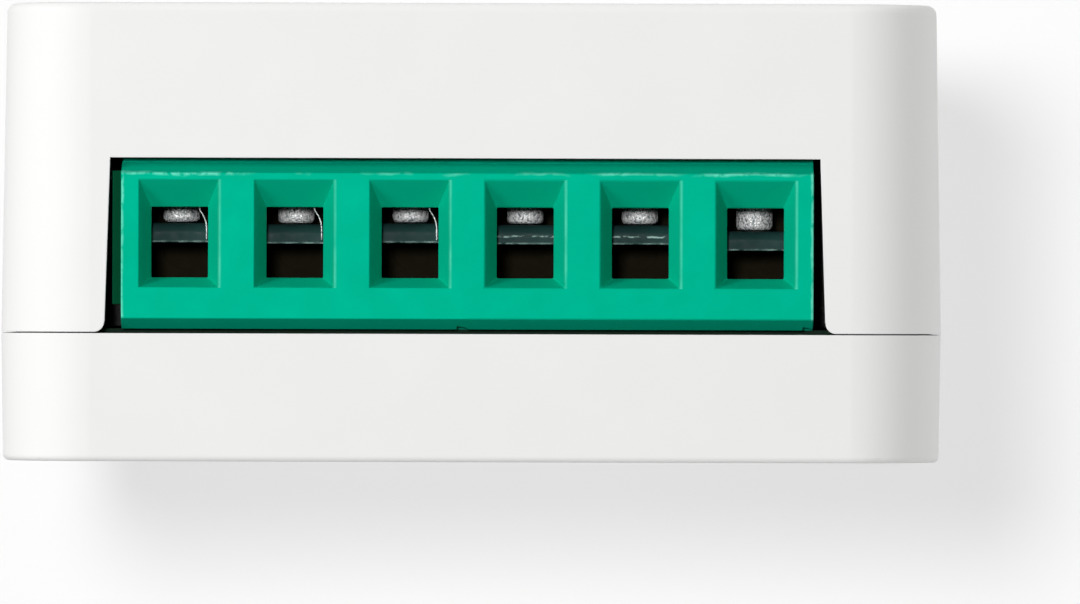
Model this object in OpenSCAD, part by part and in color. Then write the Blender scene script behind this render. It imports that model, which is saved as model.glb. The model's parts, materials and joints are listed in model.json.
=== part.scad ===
// Smart relay module: a white two-piece box with a green six-pole screw terminal in a front window.
// The terminal side faces -Y and +Z is up. The origin is the middle of the underside. Millimetres.

/* [Housing] */
// Width of the housing at the seam
body_w = 41; // [40:0.5:48]
// Depth of the housing at the seam
body_d = 41; // [40:0.5:48]
// Height of the base up to the seam
base_h = 5.55; // [5.2:0.05:7]
// Open joint between base and cover
seam_gap = 0.05; // [0.03:0.01:0.2]
// Radius of the upright corners at the seam
corner_r = 4; // [3:0.25:5]
// Thickness of the side walls
wall = 1.5; // [1.3:0.1:1.9]
// Thickness of the top of the cover
ceiling_t = 1.5; // [1.2:0.1:2]
// Thickness of the bottom of the base
floor_t = 1.6; // [1.2:0.1:1.8]
// Mould draft of the side walls in degrees
draft = 0.95; // [0.25:0.05:1.2]
// Rounding of the top edge
top_fillet = 0.4; // [0.2:0.05:0.8]
// Rounding of the bottom edge
bottom_fillet = 0.25; // [0.15:0.05:0.8]
// Room between the tallest inner piece and the top of the cover
headroom = 0.25; // [0.15:0.05:1]

/* [Seam tongue and snaps] */
// Height of the tongue of the base that centres the cover
tongue_h = 1; // [0.7:0.1:1.4]
// Thickness of the tongue
tongue_t = 0.65; // [0.5:0.05:0.75]
// Side clearance of the tongue in the cover
tongue_clear = 0.1; // [0.05:0.01:0.15]
// Width of a snap tab
snap_w = 8; // [5:0.5:9]
// Thickness of a snap tab
snap_t = 0.9; // [0.7:0.05:1]
// How far a snap barb reaches into the cover
snap_reach = 0.4; // [0.25:0.05:0.5]
// Height of the snap barbs above the seam
snap_rise = 2.6; // [2.2:0.1:3.5]
// Height of a snap barb
barb_h = 1.2; // [1:0.05:1.4]
// Clearance round the snap tabs
snap_clear = 0.15; // [0.1:0.01:0.2]

/* [Terminal block] */
// Distance from one wire entry to the next
pole_pitch = 5; // [5:0.02:5.2]
// Sideways place of the terminal block
block_x = -0.15; // [-0.5:0.05:0.5]
// How far the block face lies behind the housing face
block_recess = 0.2; // [0.1:0.05:0.4]
// Depth of the block
block_depth = 7.4; // [7.2:0.1:8]
// Height of the block
block_h = 12.4; // [12.3:0.1:14]
// Height of the nose of the block that fills the window
nose_h = 7.2; // [7.1:0.05:7.8]
// Height of the bevel along the top and bottom of the nose
nose_bevel_h = 0.45; // [0.3:0.05:0.6]
// Depth of that bevel
nose_bevel_d = 0.8; // [0.4:0.05:1]
// Width of a funnel at the face
funnel_w = 3.5; // [3.2:0.1:3.9]
// Height of a funnel at the face
funnel_h = 4.7; // [4.4:0.1:5]
// Height of the lower edge of a funnel above the circuit board
funnel_z = 1.78; // [1.6:0.02:1.9]
// Depth of a funnel
funnel_depth = 1.1; // [0.8:0.05:1.3]
// Width of the straight wire entry
entry_w = 2.47; // [2.3:0.01:2.6]
// Height of the straight wire entry
entry_h = 3.07; // [2.9:0.01:3.2]
// Height of the lower edge of the wire entry above the circuit board
entry_z = 2.22; // [2.1:0.02:2.4]
// Diameter of the screw wells
well_d = 3.8; // [3.7:0.05:4]
// How far the dovetail rib stands out
dovetail_reach = 0.4; // [0.3:0.02:0.42]
// Width of the dovetail rib at its outer side
dovetail_w = 0.9; // [0.7:0.05:0.95]
// Length of the dovetail rib
dovetail_l = 5.8; // [5:0.1:6]
// Height of the lower end of the dovetail rib above the circuit board
dovetail_z = 1.05; // [0.9:0.05:1.2]
// Distance of the dovetail rib from the block face
dovetail_set = 1.05; // [0.9:0.05:1.1]
// Clearance in the dovetail groove
dovetail_clear = 0.06; // [0.04:0.01:0.1]

/* [Window] */
// Gap between window and block on the left, beside the dovetail rib
window_gap_left = 0.48; // [0.48:0.02:0.8]
// Gap between window and block on the right
window_gap_right = 0.28; // [0.2:0.02:0.6]
// Gap between window and block at the top
window_gap_top = 0.21; // [0.08:0.01:0.3]
// Flare of the window sides in degrees
window_flare = 1.8; // [0:0.1:3]
// Rounding of the window mouth at the seam
window_mouth_r = 0.45; // [0.3:0.05:0.8]

/* [Clamp] */
// Outer diameter of the screw thread
thread_d = 2.9; // [2.6:0.05:3]
// Radial clearance of the screw in its threaded plate
thread_clear = 0.05; // [0.03:0.01:0.08]
// Diameter of the screw head
head_d = 3.5; // [3.3:0.05:3.55]
// Height of the screw head
head_h = 1.5; // [1.2:0.1:1.8]
// Width of the screwdriver slot
slot_w = 0.6; // [0.5:0.05:0.8]
// Depth of the screwdriver slot
slot_depth = 0.8; // [0.6:0.05:1]
// Diameter of the narrow point of the screw
point_d = 1.6; // [1.3:0.1:1.9]
// Length of the narrow point of the screw
point_l = 1; // [0.8:0.05:1.2]
// Chamfer of the end of the point and of its shoulder
tip_chamfer = 0.2; // [0.1:0.05:0.3]
// Gap between the screw tip and the leaf
tip_clear = 0.06; // [0.04:0.01:0.1]
// Thickness of the leaf
leaf_t = 0.4; // [0.3:0.05:0.45]
// Height of the turned-down lip of the leaf
lip_h = 0.85; // [0.75:0.05:1]
// Height of the turned-down tail of the leaf
tail_h = 0.7; // [0.6:0.05:0.75]
// Opening under the leaf as drawn
clamp_gap = 1.53; // [1.45:0.01:1.7]
// How far a clamp closes from the drawn place
travel_down = 1.4; // [1.2:0.05:1.4]
// Width of a contact cage
cage_w = 3.9; // [3.85:0.05:3.95]
// Depth of a contact cage
cage_d = 4.9; // [4.8:0.05:5]
// Thickness of the cage floor
cage_floor = 0.72; // [0.6:0.02:0.8]
// Thickness of the threaded top of the cage
cage_top = 1.2; // [1:0.05:1.25]
// Thickness of the back of the cage
cage_back = 0.6; // [0.5:0.05:0.7]
// Width of the rounded recess in the back of the cage
recess_w = 1.7; // [1.4:0.1:2]
// Depth of that recess
recess_d = 0.25; // [0.15:0.05:0.35]
// Height of the rounded end of that recess above the cage floor
recess_rise = 0.4; // [0.3:0.05:0.6]
// Clearance round the cage in its cell
cage_clear = 0.1; // [0.08:0.01:0.12]
// Diameter of a solder pin
pin_d = 1; // [0.8:0.05:1.1]

/* [Circuit board] */
// Thickness of the circuit board
board_t = 1.6; // [1.2:0.1:1.6]
// How far the top of the board lies above the seam edge of the base
board_rise = 0.2; // [0.12:0.01:0.3]
// Clearance round the board
board_clear = 0.15; // [0.1:0.01:0.3]
// Diameter of a board post
post_d = 4.5; // [3.8:0.1:4.6]
// Diameter of the locating peg on a post
peg_d = 1.8; // [1.4:0.1:2]
// How far a peg stands out of the board
peg_rise = 1; // [0.6:0.1:1.4]
// Radius of the corners of the board
board_r = 1.5; // [1:0.1:2]
// Distance of a post from the board edges
post_inset = 2.6; // [2.5:0.1:3]
// Clearance round leads and pegs
lead_clear = 0.15; // [0.1:0.01:0.2]
// Diameter of a thin lead
lead_d = 0.6; // [0.5:0.05:0.7]
// How far leads stand out under the board
lead_out = 1.3; // [0.8:0.1:1.3]
// Room between neighbouring pieces on the board
part_gap = 0.4; // [0.3:0.05:0.5]
// Room between the rows of pieces on the board
row_gap = 1.2; // [1:0.1:1.4]

/* [Button and lamp] */
// Diameter of the button
button_d = 6; // [5:0.1:6.5]
// Distance of the button from the right side
button_inset = 10; // [9.5:0.1:10.5]
// Chamfer of the button
button_edge = 0.3; // [0.2:0.05:0.5]
// Clearance round the button
button_clear = 0.15; // [0.1:0.01:0.25]
// How far the button lies under the top
button_recess = 0.2; // [0:0.05:0.4]
// Height of the button flange
flange_t = 0.8; // [0.6:0.1:1.2]
// How far the button flange stands out
flange_reach = 0.8; // [0.6:0.05:1]
// Gap between the flange and the cover
flange_gap = 0.05; // [0.03:0.01:0.1]
// Diameter of the button stem
stem_d = 3.4; // [2.8:0.1:3.6]
// Wall of the guide sleeve under the cover
sleeve_t = 0.9; // [0.7:0.1:1]
// Height of the guide sleeve under the cover
sleeve_h = 2.6; // [2:0.1:3]
// Width of the button switch
switch_w = 6; // [5.5:0.1:6.2]
// Height of the button switch
switch_h = 3.5; // [3:0.1:4]
// How far the plunger stands out of the switch
plunger_out = 1.2; // [0.8:0.1:1.6]
// How deep the plunger sits in the switch
plunger_in = 0.8; // [0.6:0.05:1]
// Room for the plunger travel
plunger_room = 0.45; // [0.4:0.05:0.6]
// Diameter of the light pipe
pipe_d = 2; // [1.6:0.1:2.4]
// Radial clearance of the light pipe
pipe_clear = 0.05; // [0.03:0.01:0.08]
// Height of the light pipe collar
collar_t = 0.8; // [0.6:0.1:1.2]
// How far the light pipe collar stands out
collar_reach = 0.6; // [0.4:0.05:0.8]
// Distance of the lamp from the back edge of the board
lamp_inset = 3.6; // [3.2:0.1:3.8]
// Length of the status lamp
lamp_l = 1.6; // [1.2:0.1:2]
// Width of the status lamp
lamp_w = 0.8; // [0.6:0.1:1]
// Height of the status lamp
lamp_h = 0.7; // [0.5:0.1:1]

/* [Relay] */
// Length of the relay
relay_l = 18; // [17.5:0.1:18.6]
// Width of the relay
relay_w = 10.2; // [10:0.1:10.6]
// Height of the relay
relay_h = 12.2; // [11.8:0.1:13]
// Wall of the relay case
case_t = 0.6; // [0.5:0.05:0.7]
// Clearance between the relay case and its base
case_clear = 0.1; // [0.05:0.01:0.15]
// Height of the relay base
relay_base_h = 1.6; // [1.4:0.1:1.8]
// Thickness of the yoke and the armature
iron_t = 1; // [0.8:0.05:1.1]
// Width of the yoke and the armature
iron_w = 6; // [5:0.1:6.5]
// Room between the bobbin flanges and the relay case
flange_room = 0.5; // [0.3:0.05:0.7]
// Thickness of the bobbin flanges
bobbin_t = 0.6; // [0.5:0.05:0.7]
// Height of the winding
winding_h = 4.2; // [3.8:0.1:4.3]
// Wall of the bobbin tube
tube_t = 0.7; // [0.5:0.05:0.9]
// Diameter of the core
core_d = 3; // [2.6:0.1:3.2]
// Diameter of the pole of the core
pole_d = 4.2; // [3.8:0.1:4.6]
// Height of the pole of the core
pole_h = 0.5; // [0.4:0.05:0.6]
// Air gap between the pole and the armature
air_gap = 0.4; // [0.38:0.02:0.6]
// Clearance between the armature and the rounded top of the yoke
pivot_clear = 0.05; // [0.03:0.01:0.08]
// Thickness of the contact spring
spring_t = 0.25; // [0.2:0.01:0.3]
// Width of the contact spring
spring_w = 3; // [2.4:0.1:4]
// Diameter of the contact rivets
rivet_d = 2.2; // [1.8:0.1:2.4]
// Height of the moving contact rivet
rivet_h = 0.8; // [0.6:0.05:1]
// Height of the fixed contact rivet
fixed_h = 0.5; // [0.4:0.05:0.7]
// Gap between the contacts
contact_gap = 0.85; // [0.8:0.05:1]

/* [Radio board] */
// Room above the radio board
radio_room = 1.25; // [1:0.05:2]
// Thickness of the radio board
radio_t = 0.8; // [0.6:0.1:1]
// Distance of the radio board from the back edge of the main board
radio_edge = 0.6; // [0.4:0.05:0.8]
// Depth of the shield can
shield_t = 1.8; // [1.4:0.1:2]
// Sheet thickness of the shield can
shield_wall = 0.3; // [0.2:0.05:0.4]
// Margin of the shield can on the radio board
shield_margin = 1; // [0.8:0.1:1.4]
// Share of the length of the radio board that the shield can takes
shield_share = 0.65; // [0.55:0.05:0.75]

/* [Supply] */
// Share of the width beside the relay that the input capacitor takes
input_cap_share = 0.67; // [0.6:0.01:0.68]
// Height of the input capacitor
input_cap_h = 11.5; // [10:0.1:12]
// Share of the middle row that the output capacitor takes
output_cap_share = 0.31; // [0.28:0.01:0.32]
// Height of the output capacitor
output_cap_h = 7.5; // [6:0.1:9]
// Share of the middle row that the inductor takes
coil_share = 0.33; // [0.3:0.01:0.34]
// Height of the inductor
coil_h = 8; // [7:0.1:10]
// Share of the middle row that the varistor takes
varistor_share = 0.34; // [0.32:0.01:0.34]
// Thickness of the varistor
varistor_t = 3.2; // [2.8:0.1:3.6]
// Share of the rear row that the fuse resistor takes with its leads
fuse_share = 0.46; // [0.42:0.01:0.46]
// Diameter of the fuse resistor
fuse_d = 3; // [2.6:0.1:3.2]
// Share of the rear row that the rectifier takes
rectifier_share = 0.26; // [0.24:0.01:0.26]
// Height of the rectifier
rectifier_h = 2.4; // [1.6:0.1:3]
// Share of the rear row that the supply chip takes
chip_share = 0.27; // [0.25:0.01:0.27]
// Height of the supply chip
chip_h = 1.6; // [1.2:0.1:2]
// Length of the feet of the chips
foot_l = 0.9; // [0.7:0.05:1]
// Width of the feet of the chips
foot_w = 0.5; // [0.4:0.05:0.6]
// Thickness of the feet of the chips
foot_t = 0.2; // [0.15:0.05:0.3]

/* [Hidden] */
$fn = 64;
eps = 0.01;
over = 1;
poles_per_block = 3;
blocks = 2;
poles = poles_per_block * blocks;

// How far each screw is turned down, and the way its slot points
clamp_drop = [0.00, 0.05, 0.00, 0.05, 0.05, 0.30];
slot_turn = [20, 75, 140, 5, 110, 50];

// Heights
board_top = base_h + board_rise;
board_bottom = board_top - board_t;
cover_bottom = base_h + seam_gap;
ceiling_z = board_top + max(block_h, relay_h, input_cap_h) + headroom;
cover_top = ceiling_z + ceiling_t;
cover_h = cover_top - cover_bottom;
lead_z = board_bottom - lead_out;

// Plan of the housing
centre_x = body_w / 2 - corner_r;
centre_y = body_d / 2 - corner_r;
front_y = -body_d / 2;
back_y = body_d / 2;
cover_lean = cover_h * tan(draft);

// Snap tabs
tab_out = body_w / 2 - wall - snap_clear;
tab_in = tab_out - snap_t;
tab_top = base_h + snap_rise + barb_h + snap_clear;
snap_places = [-0.1 * body_d, 0.22 * body_d];

// Terminal block
block_front = front_y + block_recess;
block_back = block_front + block_depth;
step_y = front_y + wall + cover_lean + cage_clear;
nose_top = board_top + nose_h;
cell_front = step_y + cage_clear;
cell_bottom = board_top + entry_z - cage_floor;
cell_top = nose_top - cage_clear;
cell_w = cage_w + 2 * cage_clear;
block_w = poles_per_block * pole_pitch;
block_left = block_x - blocks * block_w / 2;
block_right = block_x + blocks * block_w / 2;
dovetail_y = block_front + dovetail_set;

// Contact cage, leaf and screw
cage_inner = thread_d + 2 * thread_clear;
leaf_w = cage_inner - 2 * cage_clear;
cage_front = cell_front + cage_clear;
cage_top_z = cell_top - cage_clear;
cage_floor_z = cell_bottom + cage_floor;
screw_y = cage_front + cage_d / 2;
leaf_front = cage_front + cage_clear;
leaf_back = cage_front + cage_d - cage_back - 1.5 * cage_clear;
leaf_top = cage_floor_z + clamp_gap + lip_h;
screw_tip = leaf_top + tip_clear;
head_z = cage_top_z + travel_down + cage_clear;

// Window
window_left = block_left - window_gap_left;
window_right = block_right + window_gap_right;
window_top = nose_top + window_gap_top;
window_spread = (window_top - cover_bottom) * tan(window_flare);

// Circuit board and its posts
board_x = tab_in - board_clear;
board_front = front_y + wall + 2 * board_clear;
board_back = back_y - wall - 2 * board_clear;
post_x = board_x - post_inset;
post_front = block_back + post_inset;
post_back = board_back - post_inset;
posts = [[-post_x, post_front], [post_x, post_front], [-post_x, post_back], [post_x, post_back]];

// Relay
relay_left = post_d / 2 + part_gap - post_x;
relay_right = relay_left + relay_l;
relay_y = block_back + row_gap + relay_w / 2;
relay_back = relay_y + relay_w / 2;
flange_w = relay_w - 2 * case_t - 2 * flange_room;
winding_d = flange_w - 2 * part_gap;
yoke_z = board_top + relay_base_h;
bobbin_z = yoke_z + iron_t;
winding_z = bobbin_z + bobbin_t;
pole_z = winding_z + winding_h + bobbin_t;
leg_top = pole_z + pole_h + air_gap;
leg_right = relay_right - case_t - part_gap;
leg_left = leg_right - iron_t;
pivot_x = leg_left + iron_t / 2;
pivot_z = leg_top - iron_t / 2;
core_x = leg_left - part_gap - flange_w / 2;
armature_z = leg_top + pivot_clear;
spring_z = armature_z + iron_t;
contact_x = relay_left + case_t + rivet_d;
fixed_z = spring_z - rivet_h - contact_gap;

// Button and lamp
button_x = body_w / 2 - button_inset;
sleeve_r = button_d / 2 + flange_reach + button_clear + sleeve_t;
button_y = relay_back + part_gap + sleeve_r;
flange_top = ceiling_z - flange_gap;
switch_top = board_top + switch_h;
plunger_top = switch_top + plunger_out;
lamp_x = button_x;
lamp_y = board_back - lamp_inset;
collar_d = pipe_d + 2 * collar_reach;

// Radio board, upright along the back
radio_left = post_d / 2 + row_gap - post_x;
radio_right = lamp_x - collar_d / 2 - row_gap;
radio_l = radio_right - radio_left;
radio_h = ceiling_z - board_top - radio_room;
radio_back = board_back - radio_edge;
radio_front = radio_back - radio_t - shield_t;
shield_l = shield_share * radio_l;
shield_h = radio_h - 3 * shield_margin;

// The depth behind the relay is shared by a middle and a rear row
rows_d = radio_front - relay_back - 3 * row_gap;
mid_d = 0.55 * rows_d;
rear_d = rows_d - mid_d;
mid_y = relay_back + row_gap + mid_d / 2;
rear_y = relay_back + 2 * row_gap + mid_d + rear_d / 2;
row_left = part_gap - board_x;

// Input capacitor, beside the relay
input_cap_d = input_cap_share * (board_x - part_gap - relay_right);
input_cap_x = relay_right + row_gap + input_cap_d / 2;
input_cap_y = relay_back - input_cap_d / 2;

// Middle row, up to the button
mid_w = button_x - sleeve_r - part_gap - row_left - 2 * row_gap;
output_cap_d = min(output_cap_share * mid_w, mid_d);
output_cap_x = row_left + output_cap_share * mid_w / 2;
coil_d = min(coil_share * mid_w, mid_d);
coil_x = row_left + output_cap_share * mid_w + row_gap + coil_share * mid_w / 2;
varistor_d = varistor_share * mid_w;
varistor_x = row_left + (output_cap_share + coil_share + varistor_share / 2) * mid_w + 2 * row_gap;

// Rear row, up to the lamp
rear_w = lamp_x - collar_d / 2 - part_gap - row_left - 2 * row_gap;
fuse_l = fuse_share * rear_w - 4 * lead_d;
fuse_lead = fuse_l / 2 + lead_d;
fuse_x = row_left + fuse_share * rear_w / 2;
fuse_y = rear_y - part_gap;
rectifier_w = rectifier_share * rear_w;
rectifier_x = row_left + fuse_share * rear_w + row_gap + rectifier_w / 2;
chip_w = chip_share * rear_w;
chip_x = rectifier_x + rectifier_w / 2 + row_gap + chip_w / 2;

function pole_x(i) = block_x + (i - (poles - 1) / 2) * pole_pitch;
function lead_pair(x, y, half) = [[x - half, y], [x + half, y]];

// Places where thin leads go through the board
input_cap_lead = 0.22 * input_cap_d;
output_cap_lead = 0.25 * output_cap_d;
coil_lead = 0.25 * coil_d;
varistor_lead = 0.33 * varistor_d;
pin_y = 0.32 * relay_w;
relay_pins = [
  [contact_x, relay_y - pin_y],
  [contact_x, relay_y + pin_y],
  [contact_x, relay_y],
  [pivot_x, relay_y - pin_y],
  [pivot_x, relay_y + pin_y]
];
lead_places = concat(
  relay_pins,
  lead_pair(input_cap_x, input_cap_y, input_cap_lead),
  lead_pair(output_cap_x, mid_y, output_cap_lead),
  lead_pair(coil_x, mid_y, coil_lead),
  lead_pair(varistor_x, mid_y, varistor_lead),
  lead_pair(fuse_x, fuse_y, fuse_lead)
);

// A rounded box whose edge profile, given as a child, runs along the sides and turns the corners.
// The profile starts at the line through the corner centres.
module swept_box(cx, cy, h) {
  translate([-cx, -cy, 0]) cube([2 * cx, 2 * cy, h]);
  for (k = [0 : 3]) {
    half = k % 2 == 0 ? cx : cy;
    run = k % 2 == 0 ? cy : cx;
    rotate(90 * k) translate([half, run, 0]) {
      rotate([90, 0, 0]) linear_extrude(2 * run) children();
      rotate_extrude(angle = 90) children();
    }
  }
}

// Edge profile that leans in upwards and has a rounded top edge
module rounded_edge(r, h, fillet) {
  arc_x = r - ((h - fillet) * sin(draft) + fillet) / cos(draft);
  arc_y = h - fillet;
  touch = [arc_x + fillet * cos(draft), arc_y + fillet * sin(draft)];
  polygon([[0, 0], [r, 0], touch, [arc_x, h], [0, h]]);
  translate([arc_x, arc_y]) circle(fillet);
}

// Upright rounded box at the outline of the housing, drawn in by inset
module inner_box(inset, z0, z1) {
  h = z1 - z0;
  translate([0, 0, z0]) swept_box(centre_x, centre_y, h) square([corner_r - inset, h]);
}

module at_posts() {
  for (p = posts) translate([p[0], p[1], 0]) children();
}

module at_snaps() {
  for (side = [0, 1]) mirror([side, 0, 0]) for (y = snap_places) translate([0, y, 0]) children();
}

// The notch in the front wall, open at the seam with rounded mouth corners
module window_outline() {
  low = cover_bottom;
  left = window_left - window_spread;
  right = window_right + window_spread;
  mouth = right - left + 2 * window_mouth_r;
  polygon([[left, low - over], [right, low - over], [right, low], [window_right, window_top],
    [window_left, window_top], [left, low]]);
  difference() {
    translate([left - window_mouth_r, low - over]) square([mouth, over + window_mouth_r]);
    for (x = [left - window_mouth_r, right + window_mouth_r])
      translate([x, low + window_mouth_r]) circle(window_mouth_r);
  }
}

module cover() color("white") {
  inner_r = corner_r - wall;
  difference() {
    union() {
      difference() {
        translate([0, 0, cover_bottom]) swept_box(centre_x, centre_y, cover_h)
          rounded_edge(corner_r, cover_h, top_fillet);
        translate([0, 0, cover_bottom]) swept_box(centre_x, centre_y, cover_h - ceiling_t)
          rounded_edge(inner_r, cover_h - ceiling_t, top_fillet);
        inner_box(wall - tongue_t - tongue_clear, base_h, base_h + tongue_h);
      }
      at_posts() translate([0, 0, board_top + cage_clear])
        cylinder(d = post_d, h = ceiling_z - board_top);
      translate([button_x, button_y, ceiling_z - sleeve_h]) cylinder(r = sleeve_r, h = sleeve_h + eps);
    }
    translate([0, step_y, 0]) rotate([90, 0, 0]) linear_extrude(wall + cover_lean + over) window_outline();
    for (i = [0 : poles - 1]) translate([pole_x(i), screw_y, ceiling_z - eps])
      cylinder(d = well_d, h = ceiling_t + over);
    at_posts() cylinder(d = peg_d + 4 * lead_clear, h = board_top + peg_rise + over);
    translate([button_x, button_y, ceiling_z - eps])
      cylinder(d = button_d + 2 * button_clear, h = ceiling_t + over);
    translate([button_x, button_y, ceiling_z - sleeve_h - over])
      cylinder(r = sleeve_r - sleeve_t, h = sleeve_h + over);
    translate([lamp_x, lamp_y, ceiling_z - over])
      cylinder(d = pipe_d + 2 * pipe_clear, h = ceiling_t + 2 * over);
    at_snaps() translate([tab_out - snap_clear, -snap_w / 2 - snap_clear, base_h + snap_rise - snap_clear])
      cube([snap_reach + 2 * snap_clear, snap_w + 2 * snap_clear, barb_h + 2 * snap_clear]);
  }
}

module snap_tab() {
  translate([tab_in, -snap_w / 2, floor_t - eps]) cube([snap_t, snap_w, tab_top - floor_t]);
  translate([tab_in, -snap_w / 2, floor_t - eps])
    cube([snap_t + 2 * snap_clear, snap_w, base_h - floor_t - tongue_h]);
  translate([tab_out, snap_w / 2, base_h + snap_rise]) rotate([90, 0, 0]) linear_extrude(snap_w)
    polygon([[-eps, 0], [snap_reach, barb_h / 8], [snap_reach, barb_h / 3], [-eps, barb_h]]);
}

module base() color("whitesmoke") {
  difference() {
    union() {
      swept_box(centre_x, centre_y, base_h)
        translate([0, base_h]) mirror([0, 1]) rounded_edge(corner_r, base_h, bottom_fillet);
      inner_box(wall - tongue_t, base_h - eps, base_h + tongue_h);
    }
    inner_box(wall, floor_t, base_h + tongue_h + over);
    translate([window_left - window_spread - over, front_y - over, base_h])
      cube([window_right - window_left + 2 * window_spread + 2 * over, wall + 2 * over, tongue_h + over]);
  }
  at_posts() {
    translate([0, 0, floor_t - eps]) cylinder(d = post_d, h = board_bottom - floor_t + eps);
    translate([0, 0, floor_t]) cylinder(d = peg_d, h = board_top + peg_rise - floor_t);
  }
  at_snaps() snap_tab();
}

module circuit_board() color("darkgreen") {
  half_y = (board_back - board_front) / 2;
  difference() {
    translate([0, board_front + half_y, board_bottom])
      swept_box(board_x - board_r, half_y - board_r, board_t) square([board_r, board_t]);
    at_posts() cylinder(d = peg_d + 2 * lead_clear, h = board_top + over);
    for (i = [0 : poles - 1]) translate([pole_x(i), screw_y, 0])
      cylinder(d = pin_d + 2 * lead_clear, h = board_top + over);
    for (p = lead_places) translate([p[0], p[1], 0])
      cylinder(d = lead_d + 2 * lead_clear, h = board_top + over);
  }
}

// A wire entry: four sloping walls that lead to a straight rectangular hole
module wire_entry() {
  deep = cell_front - block_front + eps;
  outer = funnel_w / 2;
  inner = entry_w / 2;
  intersection() {
    translate([0, block_front, 0]) linear_extrude(board_top + block_h)
      polygon([[-outer, -eps], [outer, -eps], [inner, funnel_depth], [inner, deep], [-inner, deep],
        [-inner, funnel_depth]]);
    translate([-outer, block_front, board_top]) rotate([90, 0, 90]) linear_extrude(funnel_w)
      polygon([[-eps, funnel_z], [funnel_depth, entry_z], [deep, entry_z], [deep, entry_z + entry_h],
        [funnel_depth, entry_z + entry_h], [-eps, funnel_z + funnel_h]]);
  }
}

// Plan of the dovetail on the left side of a block, grown by room for the groove
module dovetail_plan(room) {
  tip = dovetail_w / 2 + room;
  root = tip - dovetail_reach * 0.4;
  polygon([[eps, -root], [eps, root], [-dovetail_reach - room, tip], [-dovetail_reach - room, -tip]]);
}

module terminal_block(k) color("mediumseagreen") {
  left = block_left + k * block_w;
  difference() {
    union() {
      translate([left, 0, board_top]) rotate([90, 0, 90]) linear_extrude(block_w)
        polygon([[block_front + nose_bevel_d, 0], [block_front, nose_bevel_h],
          [block_front, nose_h - nose_bevel_h], [block_front + nose_bevel_d, nose_h], [step_y, nose_h],
          [step_y, block_h], [block_back, block_h], [block_back, 0]]);
      translate([left, dovetail_y, board_top + dovetail_z]) linear_extrude(dovetail_l) dovetail_plan(0);
    }
    translate([left + block_w, dovetail_y, board_top - over])
      linear_extrude(over + dovetail_z + dovetail_l + dovetail_clear) dovetail_plan(dovetail_clear);
    for (i = [0 : poles_per_block - 1]) translate([pole_x(k * poles_per_block + i), 0, 0]) {
      wire_entry();
      translate([-cell_w / 2, cell_front, cell_bottom])
        cube([cell_w, block_back - cell_front + over, cell_top - cell_bottom]);
      translate([0, screw_y, cell_top - eps]) cylinder(d = well_d, h = block_h);
      translate([0, screw_y, board_top - over])
        cylinder(d = pin_d + 2 * lead_clear, h = cell_bottom - board_top + 2 * over);
    }
  }
}

module contact_cage(i) color("darkgoldenrod") {
  height = cage_top_z - cell_bottom;
  clear_h = height - cage_floor - cage_top;
  inner_back = cage_front + cage_d - cage_back;
  recess_z = cage_floor_z + recess_w / 2 + recess_rise;
  translate([pole_x(i), 0, 0]) {
    difference() {
      translate([-cage_w / 2, cage_front, cell_bottom]) cube([cage_w, cage_d, height]);
      translate([-cage_inner / 2, cage_front - over, cage_floor_z])
        cube([cage_inner, cage_d + over - cage_back, clear_h]);
      translate([0, inner_back + recess_d, recess_z]) rotate([90, 0, 0])
        cylinder(d = recess_w, h = recess_d + over);
      translate([-recess_w / 2, inner_back - over, recess_z])
        cube([recess_w, recess_d + over, cage_floor_z + clear_h - recess_z]);
      translate([0, screw_y, cage_top_z - cage_top - eps]) cylinder(d = cage_inner, h = cage_top + over);
    }
    translate([0, screw_y, lead_z]) cylinder(d = pin_d, h = cell_bottom + eps - lead_z);
  }
}

// Side profile of the leaf: a flat pad between a lip and a shorter tail that are bent down
module leaf_profile() {
  bend = 1.1 * leaf_t;
  depth = leaf_back - leaf_front;
  difference() {
    union() {
      translate([0, -lip_h]) square([leaf_t, lip_h]);
      translate([0, -leaf_t]) square([depth, leaf_t]);
      translate([depth - leaf_t, -tail_h]) square([leaf_t, tail_h]);
    }
    difference() {
      translate([-eps, -bend]) square(bend + eps);
      translate([bend, -bend]) circle(bend);
    }
    difference() {
      translate([depth - bend, -bend]) square(bend + eps);
      translate([depth - bend, -bend]) circle(bend);
    }
  }
}

module clamp_leaf(i) color("silver")
  translate([pole_x(i) - leaf_w / 2, leaf_front, leaf_top - clamp_drop[i]])
    rotate([90, 0, 90]) linear_extrude(leaf_w) leaf_profile();

module clamp_screw(i) color("lightgray") {
  shank = head_z - screw_tip;
  r = thread_d / 2;
  point_r = point_d / 2;
  translate([pole_x(i), screw_y, screw_tip - clamp_drop[i]]) difference() {
    rotate_extrude() polygon([[0, 0], [point_r - tip_chamfer, 0], [point_r, tip_chamfer], [point_r, point_l],
      [r - tip_chamfer, point_l], [r, point_l + tip_chamfer], [r, shank],
      [head_d / 2, shank], [head_d / 2, shank + head_h], [0, shank + head_h]]);
    rotate(slot_turn[i]) translate([-head_d, -slot_w / 2, shank + head_h - slot_depth])
      cube([2 * head_d, slot_w, slot_depth + over]);
  }
}

module button_cap() color("white") translate([button_x, button_y, 0]) {
  top = cover_top - button_recess;
  flange_bottom = flange_top - flange_t;
  r = button_d / 2;
  rotate_extrude() polygon([[0, plunger_top], [stem_d / 2, plunger_top], [stem_d / 2, flange_bottom],
    [r + flange_reach, flange_bottom], [r + flange_reach, flange_top], [r, flange_top],
    [r, top - button_edge], [r - button_edge, top], [0, top]]);
}

module button_switch() color("dimgray") translate([button_x, button_y, 0]) difference() {
  translate([-switch_w / 2, -switch_w / 2, board_top]) cube([switch_w, switch_w, switch_h]);
  translate([0, 0, switch_top - plunger_in - plunger_room])
    cylinder(d = stem_d + 2 * button_clear, h = switch_h);
}

module switch_plunger() color("black") translate([button_x, button_y, switch_top - plunger_in])
  cylinder(d = stem_d, h = plunger_in + plunger_out);

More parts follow.
